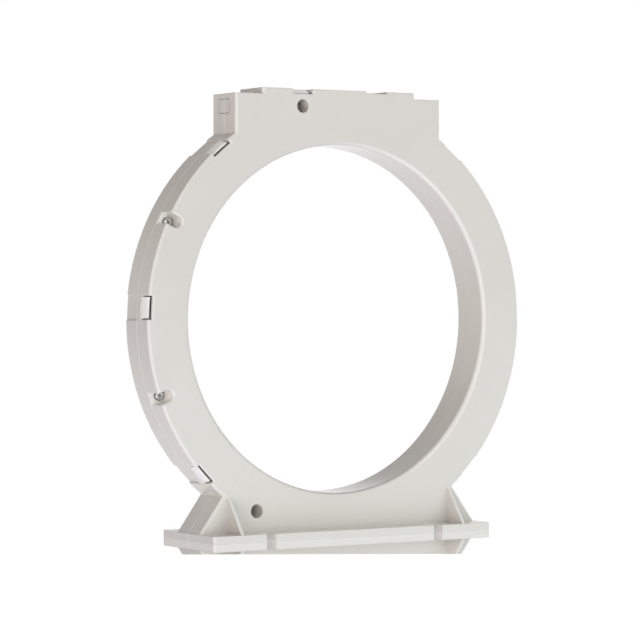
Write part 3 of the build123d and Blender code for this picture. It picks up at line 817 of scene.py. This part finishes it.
casingScrew = {
    "rimAngles": (153.0, 200.3),
    "rimRadius": 0.1269,
    "wells": ((-0.0262, 0.2585), (-0.05893, 0.01691)),
    "turns": (30.0, 2.0, 40.0, 12.0),
    "seat": 0.0016,
    "headRadius": 0.003,
    "headHeight": 0.0022,
    "headPower": 3.4,
    "headRings": (0.024, 0.93, 40),
    "headRim": (0.955, 0.975, 0.988, 0.996, 1.0),
    "recessSpan": 0.0036,
    "recessWidth": 0.00084,
    "recessDepth": 0.0011,
    "recessWall": 0.00016,
    "recessFall": 1.12,
    "recessEnds": 0.2,
    "recessShade": 0.62,
    "rimShade": 0.85,
    "rimStart": 0.78,
    "rimFade": 0.16,
    "threadShade": 0.7,
    "poleShade": (1.0, 0.2),
    "length": 0.0095,
    "shankEnds": (0.00002, 0.00008),
    "shankRings": 84,
    "crest": 0.00145,
    "root": 0.00106,
    "pitch": 0.0011,
    "threadStart": 0.0006,
    "threadRise": 0.0006,
    "ridgeSharpness": 2.4,
    "point": 0.0018,
    "pointPower": 0.7,
    "columns": 96,
}


def screwPlaces():
    radius, centre = casingScrew["rimRadius"], ringCentre.z
    angles = [math.radians(a) for a in casingScrew["rimAngles"]]
    rim = [(radius * math.cos(a), centre + radius * math.sin(a)) for a in angles]
    return rim + list(casingScrew["wells"])


def screwHead(theta):
    # Height over the seat is headHeight (1 - (r / headRadius)^p)^(1/p), less the recess. The
    # recess is a cross of two bars; its depth rises from the bars' sides within a short wall and
    # falls off along each bar. Painted shade darkens the recess and the head's rim.
    radius = casingScrew["headRadius"]
    share = np.concatenate([np.linspace(*casingScrew["headRings"]), casingScrew["headRim"]])
    r, t = np.meshgrid(radius * share, theta, indexing="ij")
    power = casingScrew["headPower"]
    crown = casingScrew["headHeight"] * (1 - (r / radius) ** power).clip(0) ** (1 / power)
    u, v = np.abs(r * np.cos(t)), np.abs(r * np.sin(t))
    half, span = casingScrew["recessWidth"] / 2, casingScrew["recessSpan"] / 2
    depth = np.zeros_like(r)
    for along, across in ((u, v), (v, u)):
        inside = np.minimum(half - across, span - along)
        fall = (casingScrew["recessFall"] - along / span).clip(casingScrew["recessEnds"], 1.0)
        wall = (inside / casingScrew["recessWall"]).clip(0, 1)
        depth = np.maximum(depth, casingScrew["recessDepth"] * fall * wall)
    inRecessShade = casingScrew["recessShade"] * (2 * depth / casingScrew["recessDepth"]).clip(0, 1)
    nearRim = ((r / radius - casingScrew["rimStart"]) / casingScrew["rimFade"]).clip(0, 1)
    return r, crown - depth, np.maximum(inRecessShade, casingScrew["rimShade"] * nearRim)


def screwShank(theta):
    # Radius is root + (crest - root) ridge(advance / pitch + turn), and falls to the point.
    root, length = casingScrew["root"], casingScrew["length"]
    start, end = casingScrew["shankEnds"]
    advance = np.linspace(start, length - end, casingScrew["shankRings"])
    a, t = np.meshgrid(advance, theta, indexing="ij")
    phase = (a / casingScrew["pitch"] + t / (2 * math.pi)) % 1.0
    ridge = (1 - np.abs(2 * phase - 1) * casingScrew["ridgeSharpness"]).clip(0, 1)
    ridge *= ((a - casingScrew["threadStart"]) / casingScrew["threadRise"]).clip(0, 1)
    taper = ((length - a) / casingScrew["point"]).clip(0, 1) ** casingScrew["pointPower"]
    radius = root + (casingScrew["crest"] - root) * ridge
    # painted shade in the thread's roots
    return radius * taper, -a, casingScrew["threadShade"] * (1 - ridge)


def screwSurface(x, z, turn, side):
    theta = np.linspace(0, 2 * math.pi, casingScrew["columns"], endpoint=False)
    rows = [np.vstack(pair) for pair in zip(screwHead(theta), screwShank(theta))]
    r, depth, paintedShade = rows[0], casingScrew["seat"] + rows[1], rows[2]
    angle = theta + math.radians(turn)
    rings = np.stack([side * (x + r * np.cos(angle)), -side * depth, z + r * np.sin(angle)], axis=-1)
    top = casingScrew["seat"] + casingScrew["headHeight"] - casingScrew["recessDepth"]
    tip = casingScrew["seat"] - casingScrew["length"]
    points, faceSets = closedTurned(rings, (side * x, -side * top, z), (side * x, -side * tip, z))
    return points, outwards(points, faceSets), np.append(paintedShade, casingScrew["poleShade"])


for nodeName, side in (("front_screws", 1), ("rear_screws", -1)):
    screws = [screwSurface(x, z, turn, side)
              for (x, z), turn in zip(screwPlaces(), casingScrew["turns"])]
    makePiece(nodeName.split("_")[0] + "CasingScrews", [screw[:2] for screw in screws], zincPlate,
              nodeName, paintedShade=np.concatenate([screw[2] for screw in screws]))


# Secondary winding: turns of wire round the core's case, as a ridged skin

windingCoil = {
    "turnCount": 420,
    "stepsPerTurn": 4,
    "sectionSteps": 32,
    "middleRadius": 0.1137,
    "halfWidth": 0.0055,
    "halfDepth": 0.0103,
    "cornerPower": 9.0,
    "sectionStart": 0.05,
    "ridge": 0.00045,
    "ridgePower": 0.5,
    "sharpAngle": 80.0,
    "skin": 0.001,
    "innerSteps": 160,
    "innerCornerPower": 30.0,
}


def coilSkin(steps, inset, ridge, power):
    # The section is a squared-off ellipse: half size times cosine or sine to the power 2/p. It is
    # carried round the window's axis, and each turn of wire makes the section swell once, with
    # the turns leaning by one pitch in one lap round the section.
    phi = np.linspace(0, 2 * math.pi, steps, endpoint=False)
    psi = np.linspace(0, 2 * math.pi, windingCoil["sectionSteps"], endpoint=False)
    p, s = np.meshgrid(phi, psi + windingCoil["sectionStart"], indexing="ij")
    phase = (windingCoil["turnCount"] * p + s) / 2
    fall = inset + ridge * (1 - np.abs(np.cos(phase)) ** windingCoil["ridgePower"])
    c, n = np.cos(s), np.sin(s)
    wide = (windingCoil["halfWidth"] - fall) * np.sign(c) * np.abs(c) ** (2 / power)
    deep = (windingCoil["halfDepth"] - fall) * np.sign(n) * np.abs(n) ** (2 / power)
    radius = windingCoil["middleRadius"] + wide
    points = np.stack([radius * np.cos(p), deep, ringCentre.z + radius * np.sin(p)], axis=-1)
    points = points.reshape(-1, 3)
    return points, outwards(points, [gridQuads(steps, windingCoil["sectionSteps"], wrapRows=True)])


outerSkin = coilSkin(windingCoil["turnCount"] * windingCoil["stepsPerTurn"], 0.0,
                     windingCoil["ridge"], windingCoil["cornerPower"])
innerPoints, innerFaces = coilSkin(windingCoil["innerSteps"], windingCoil["skin"], 0.0,
                                   windingCoil["innerCornerPower"])
innerSkin = (innerPoints, [faces[:, ::-1] for faces in innerFaces])
makePiece("windingCoil", [outerSkin, innerSkin], wireEnamel, "secondary_winding",
          windingCoil["sharpAngle"])


# Floor, light and camera

studio = {
    "floorRadius": 12.0,
    "floorRings": 12,
    "floorSpokes": 64,
    "floorColour": (0.86, 0.86, 0.86, 1.0),
    "floorRoughness": 0.6,
    "floorGlow": 0.64,
    "mirrorShare": 0.9,
    "mirrorColour": (1.0, 1.0, 1.0, 1.0),
    "mirrorRoughness": 0.03,
    "mirrorAhead": (0.530, 0.848, 0.0),
    "mirrorStart": (-0.1402, -0.1380),
    "mirrorGrazing": (0.72, 0.88),
    "fade": (0.5, 1.8),
}


def makeFloor():
    # A flat disc as rings of points: radius grows with the square of the ring's number.
    ringCount, spokeCount = studio["floorRings"], studio["floorSpokes"]
    radius = studio["floorRadius"] * (np.arange(1, ringCount + 1) / ringCount) ** 2
    turn = np.linspace(0, 2 * math.pi, spokeCount, endpoint=False)
    r, t = np.meshgrid(radius, turn, indexing="ij")
    points = np.stack([r * np.cos(t), r * np.sin(t), np.zeros_like(r)], axis=-1).reshape(-1, 3)
    points = np.vstack([points, [[0.0, 0.0, 0.0]]])
    quads = gridQuads(ringCount, spokeCount)[:, ::-1]
    centre = poleFan(0, spokeCount, len(points) - 1)[:, ::-1]
    mesh = bpy.data.meshes.new("floor")
    mesh.from_pydata(points.tolist(), [], quads.tolist() + centre.tolist())
    floor = bpy.data.objects.new("floor", mesh)
    scene.collection.objects.link(floor)
    # the light from below is the world's lower half, so the floor lets it pass
    floor.visible_diffuse = False
    floor.visible_shadow = False
    return floor


def seenDirectly(tree):
    # 1 for rays from the camera, mirrored rays and rays through glass, 0 for the rays that gather
    # light for other surfaces
    path = addNode(tree, "ShaderNodeLightPath")
    seen = calc(tree, "MAXIMUM", path.outputs["Is Camera Ray"], path.outputs["Is Glossy Ray"])
    return calc(tree, "MAXIMUM", seen, path.outputs["Is Transmission Ray"])


def makeFloorMaterial():
    # A white top that keeps the shadow, with a mirror layer over it that starts a little way in
    # front of the object and shows only at a grazing sight. Far from the object, what is seen of
    # the floor fades to white.
    material, tree, shader = newMaterial("floorWhite")
    shader.inputs["Base Color"].default_value = studio["floorColour"]
    shader.inputs["Roughness"].default_value = studio["floorRoughness"]
    shader.inputs["Emission Color"].default_value = (1.0, 1.0, 1.0, 1.0)
    seen = seenDirectly(tree)
    feed(tree, times(tree, seen, studio["floorGlow"]), shader.inputs["Emission Strength"])
    mirror = addNode(tree, "ShaderNodeBsdfGlossy")
    mirror.inputs["Color"].default_value = studio["mirrorColour"]
    mirror.inputs["Roughness"].default_value = studio["mirrorRoughness"]
    along = vectorMath(tree, "DOT_PRODUCT", objectPlace(tree), studio["mirrorAhead"])
    share = remap(tree, along.outputs["Value"], *studio["mirrorStart"], 0.0, studio["mirrorShare"])
    facing = addNode(tree, "ShaderNodeLayerWeight").outputs["Facing"]
    share = times(tree, share, remap(tree, facing, *studio["mirrorGrazing"]))
    topped = mixShaders(tree, share, shader.outputs[0], mirror.outputs[0])
    reach = vectorMath(tree, "LENGTH", objectPlace(tree)).outputs["Value"]
    faded = times(tree, seen, remap(tree, reach, *studio["fade"]))
    glow = addNode(tree, "ShaderNodeEmission").outputs[0]
    surface = tree.nodes["Material Output"].inputs["Surface"]
    feed(tree, mixShaders(tree, faded, topped, glow), surface)
    return material


# The studio's light as lobes of the world: from where, how narrow, and how strong in each colour
skyLobes = {
    "rear": {"from": (0.0, 1.0, 0.0), "sharpness": 3.0, "light": (0.591, 0.591, 0.591)},
    "belowRear": {"from": (0.5, 0.5, -0.707), "sharpness": 3.0, "light": (1.44, 1.46, 1.53)},
    "belowFront": {"from": (-0.5, -0.5, -0.707), "sharpness": 3.0, "light": (0.554, 0.582, 0.7)},
    "below": {"from": (0.0, 0.0, -1.0), "sharpness": 3.0, "light": (0.0374, 0.0207, 0.235)},
    "frontRight": {"from": (0.707, -0.707, 0.0), "sharpness": 3.0, "light": (0.565, 0.66, 0.636)},
    "aboveRight": {"from": (0.5, -0.5, 0.707), "sharpness": 3.0, "light": (1.08, 1.01, 0.99)},
    "left": {"from": (-0.966, -0.259, 0.0), "sharpness": 14.0, "light": (0.50, 0.50, 0.49)},
    "keyLeft": {"from": (-0.788, -0.616, 0.0), "sharpness": 14.0, "light": (2.60, 2.20, 2.14)},
    "front": {"from": (-0.087, -0.996, 0.0), "sharpness": 14.0, "light": (0.84, 1.09, 1.17)},
    "keyLow": {"from": (-0.682, -0.533, -0.5), "sharpness": 14.0, "light": (1.84, 1.9, 1.61)},
}


# What glossy surfaces mirror: white up to a height, as a share of straight up, and grey above it
backdrop = {"fade": (0.28, 0.46), "above": 0.6}


def makeWorld():
    # Light falls off with the cosine to a power about each lobe's direction. Glossy surfaces
    # mirror the backdrop instead, and the camera sees plain white.
    world = bpy.data.worlds.new("studioWorld")
    world.use_nodes = True
    tree = world.node_tree
    towards = addNode(tree, "ShaderNodeTexCoord").outputs["Generated"]
    light = (0.0, 0.0, 0.0)
    for lobe in skyLobes.values():
        facing = vectorMath(tree, "DOT_PRODUCT", towards, Vector(lobe["from"]).normalized())
        ahead = calc(tree, "MAXIMUM", facing.outputs["Value"], 0.0)
        power = calc(tree, "POWER", ahead, lobe["sharpness"])
        spread = joinXYZ(tree, power, power, power)
        light = vectorMath(tree, "MULTIPLY_ADD", lobe["light"], spread, light).outputs[0]
    height = splitXYZ(tree, towards)["Z"]
    shade = remap(tree, height, *backdrop["fade"], 1.0, backdrop["above"])
    camera = addNode(tree, "ShaderNodeLightPath").outputs["Is Camera Ray"]
    white = calc(tree, "MAXIMUM", shade, camera)
    seen = joinXYZ(tree, white, white, white)
    colour = mixColours(tree, seenDirectly(tree), light, seen)
    feed(tree, colour, tree.nodes["Background"].inputs["Color"])
    scene.world = world


photoCamera = {
    "place": (-0.94016, -1.49261, 0.14812),
    "yaw": 0.55922,
    "pitch": -0.01026,
    "roll": -0.00165,
    "focalPixels": 2899.98,
    "framePixels": 640,
    "sensor": 36.0,
    "clipEnd": 50.0,
}


def makeCamera():
    # The view axis from yaw and pitch, then right and up turned by the roll about it.
    yaw, pitch, roll = photoCamera["yaw"], photoCamera["pitch"], photoCamera["roll"]
    ahead = Vector((math.sin(yaw) * math.cos(pitch), math.cos(yaw) * math.cos(pitch), math.sin(pitch)))
    right = Vector((math.cos(yaw), -math.sin(yaw), 0.0))
    up = right.cross(ahead)
    turnedRight = right * math.cos(roll) + up * math.sin(roll)
    turnedUp = up * math.cos(roll) - right * math.sin(roll)
    lens = bpy.data.cameras.new("photoCamera")
    lens.sensor_width = photoCamera["sensor"]
    lens.lens = photoCamera["focalPixels"] / photoCamera["framePixels"] * photoCamera["sensor"]
    lens.clip_end = photoCamera["clipEnd"]
    camera = bpy.data.objects.new("photoCamera", lens)
    axes = Matrix((turnedRight, turnedUp, -ahead)).transposed().to_4x4()
    camera.matrix_world = Matrix.Translation(photoCamera["place"]) @ axes
    scene.collection.objects.link(camera)
    scene.camera = camera


floor = makeFloor()
floor.data.materials.append(makeFloorMaterial())
makeWorld()
makeCamera()
scene.view_settings.view_transform = "Standard"
print("studio ready")
